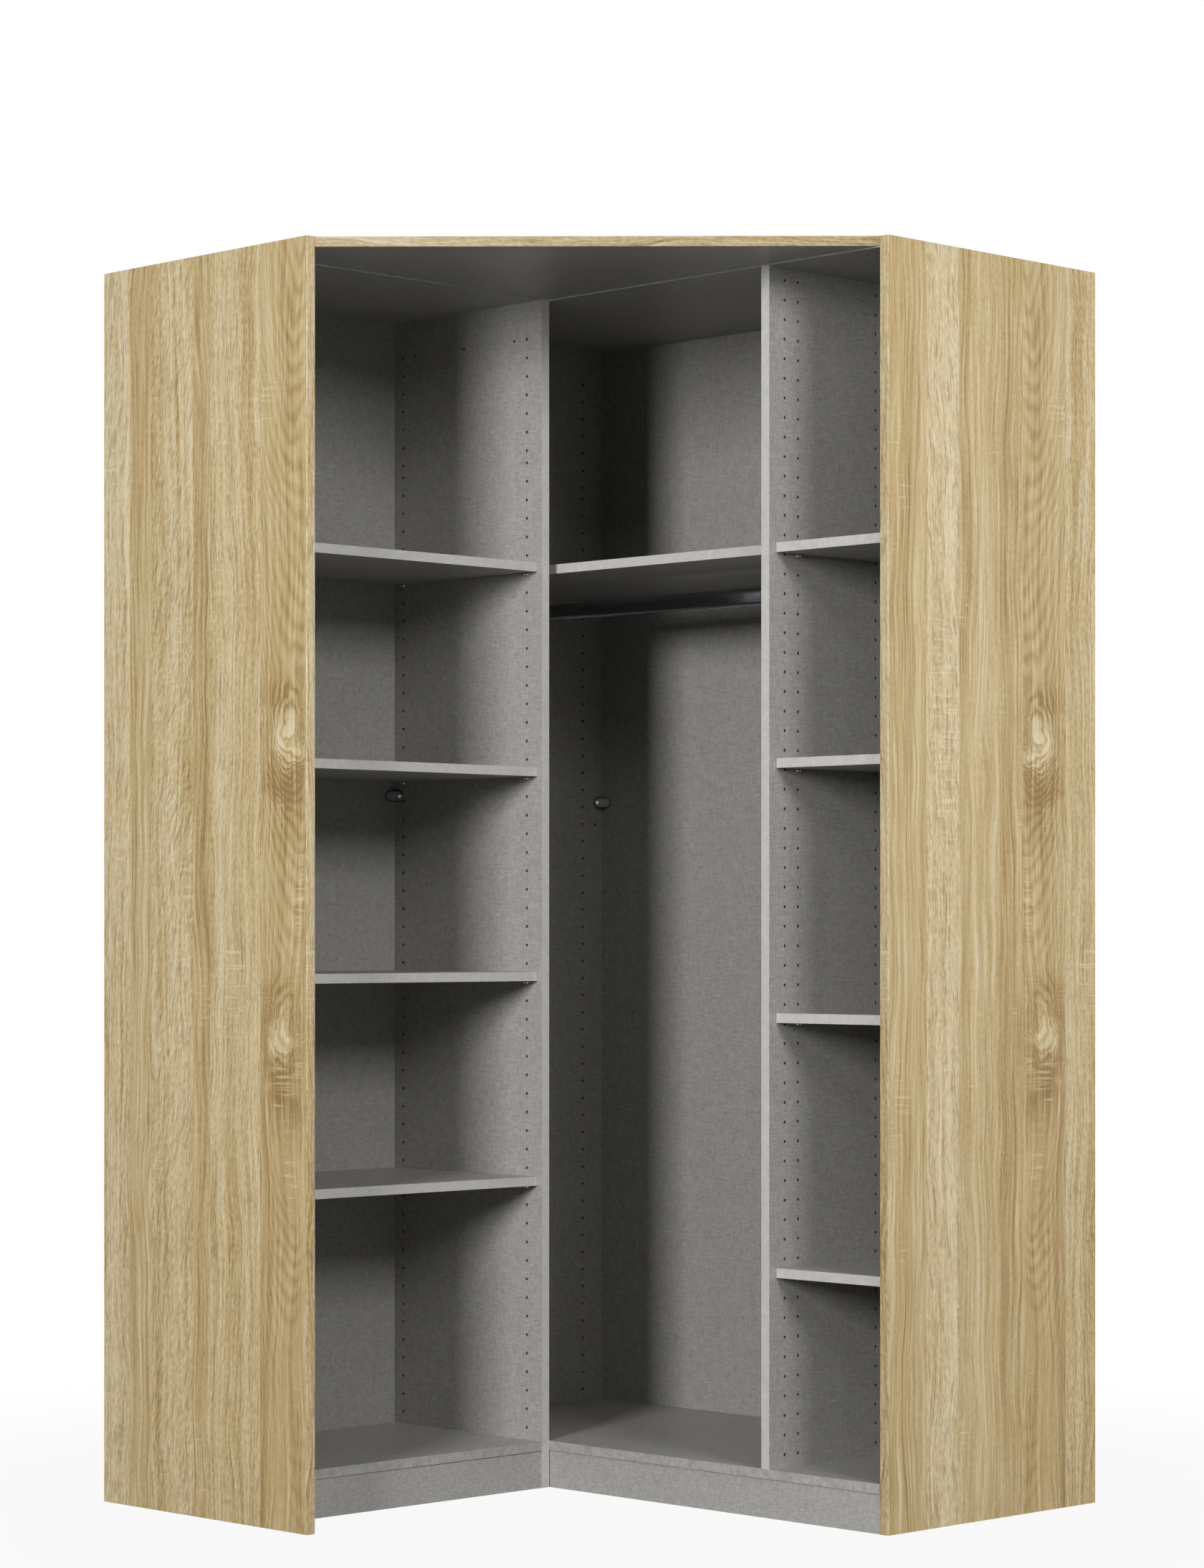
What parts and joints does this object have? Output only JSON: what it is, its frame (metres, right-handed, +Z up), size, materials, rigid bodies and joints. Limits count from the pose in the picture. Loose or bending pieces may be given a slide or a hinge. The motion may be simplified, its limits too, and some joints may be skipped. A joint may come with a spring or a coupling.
{
  "type": "corner wardrobe",
  "caption": "Open corner wardrobe with a shallow shelf wing, a deep hanging wing with rail and shelf bay, oak end panels and grey linen inside.",
  "frame": {"origin": "on the floor, under the middle of the square that the two wings span", "axes": "+Z up, +X from the left wall along the back wall to the right end, +Y towards the back wall; the room corner is at -X, +Y and the open front looks along +X, -Y"},
  "size_m": [1.175, 1.175, 2.06],
  "materials": {
    "linen_decor_board": "matt grey linen decor on chipboard",
    "oak_decor_board": "matt pale oak decor outside, grey linen decor inside, on chipboard",
    "oak_edging": "matt pale oak decor",
    "back_board": "matt grey linen decor on thin fibreboard",
    "nickel_peg": "bright nickel plate",
    "zinc_fitting": "bright zinc",
    "chrome_rail": "polished chrome",
    "grey_plastic_block": "moulded mid-grey plastic",
    "beech_dowel": "fluted beech"
  },
  "bodies": {
    "carcase": {"left_end_panel": "oak_decor_board", "right_end_panel": "oak_decor_board", "corner_side_panel": "linen_decor_board", "divider_panel": "linen_decor_board", "partition_panel": "linen_decor_board", "left_bottom_panel": "linen_decor_board", "right_bottom_panel": "linen_decor_board", "left_top_panel": "linen_decor_board", "right_top_panel": "linen_decor_board", "left_plinth": "linen_decor_board", "right_plinth": "linen_decor_board", "front_top_panel": "linen_decor_board", "front_top_edging": "oak_edging", "left_end_edging": "oak_edging", "right_end_edging": "oak_edging", "left_back_panel": "back_board", "right_back_panel": "back_board", "left_shelf_pins": "nickel_peg", "right_shelf_pins": "nickel_peg", "hat_shelf_pins": "nickel_peg", "rail_cup_left": "zinc_fitting", "rail_cup_right": "zinc_fitting", "rail_cup_screws": "zinc_fitting", "cam_housings": "zinc_fitting", "cam_bolts": "zinc_fitting", "wing_joining_screws": "zinc_fitting", "back_block_screws": "zinc_fitting", "wood_dowels": "beech_dowel", "back_panel_blocks": "grey_plastic_block"},
    "left_shelf_1": {"left_shelf_1": "linen_decor_board"},
    "left_shelf_2": {"left_shelf_2": "linen_decor_board"},
    "left_shelf_3": {"left_shelf_3": "linen_decor_board"},
    "left_shelf_4": {"left_shelf_4": "linen_decor_board"},
    "right_shelf_1": {"right_shelf_1": "linen_decor_board"},
    "right_shelf_2": {"right_shelf_2": "linen_decor_board"},
    "right_shelf_3": {"right_shelf_3": "linen_decor_board"},
    "right_shelf_4": {"right_shelf_4": "linen_decor_board"},
    "hat_shelf": {"hat_shelf": "linen_decor_board"},
    "clothes_rail": {"clothes_rail": "chrome_rail"}
  },
  "joints": [
    {"name": "left_shelf_1_slide", "type": "slide", "parent": "carcase", "child": "left_shelf_1", "axis": [1, 0, 0], "range_m": [0, 0.38]},
    {"name": "left_shelf_2_slide", "type": "slide", "parent": "carcase", "child": "left_shelf_2", "axis": [1, 0, 0], "range_m": [0, 0.38]},
    {"name": "left_shelf_3_slide", "type": "slide", "parent": "carcase", "child": "left_shelf_3", "axis": [1, 0, 0], "range_m": [0, 0.38]},
    {"name": "left_shelf_4_slide", "type": "slide", "parent": "carcase", "child": "left_shelf_4", "axis": [1, 0, 0], "range_m": [0, 0.38]},
    {"name": "right_shelf_1_slide", "type": "slide", "parent": "carcase", "child": "right_shelf_1", "axis": [0, -1, 0], "range_m": [0, 0.505]},
    {"name": "right_shelf_2_slide", "type": "slide", "parent": "carcase", "child": "right_shelf_2", "axis": [0, -1, 0], "range_m": [0, 0.505]},
    {"name": "right_shelf_3_slide", "type": "slide", "parent": "carcase", "child": "right_shelf_3", "axis": [0, -1, 0], "range_m": [0, 0.505]},
    {"name": "right_shelf_4_slide", "type": "slide", "parent": "carcase", "child": "right_shelf_4", "axis": [0, -1, 0], "range_m": [0, 0.505]},
    {"name": "hat_shelf_lift", "type": "slide", "parent": "carcase", "child": "hat_shelf", "axis": [0, 0, 1], "range_m": [0, 0.064]},
    {"name": "clothes_rail_lift", "type": "slide", "parent": "carcase", "child": "clothes_rail", "axis": [0, 0, 1], "range_m": [0, 0.022]}
  ]
}
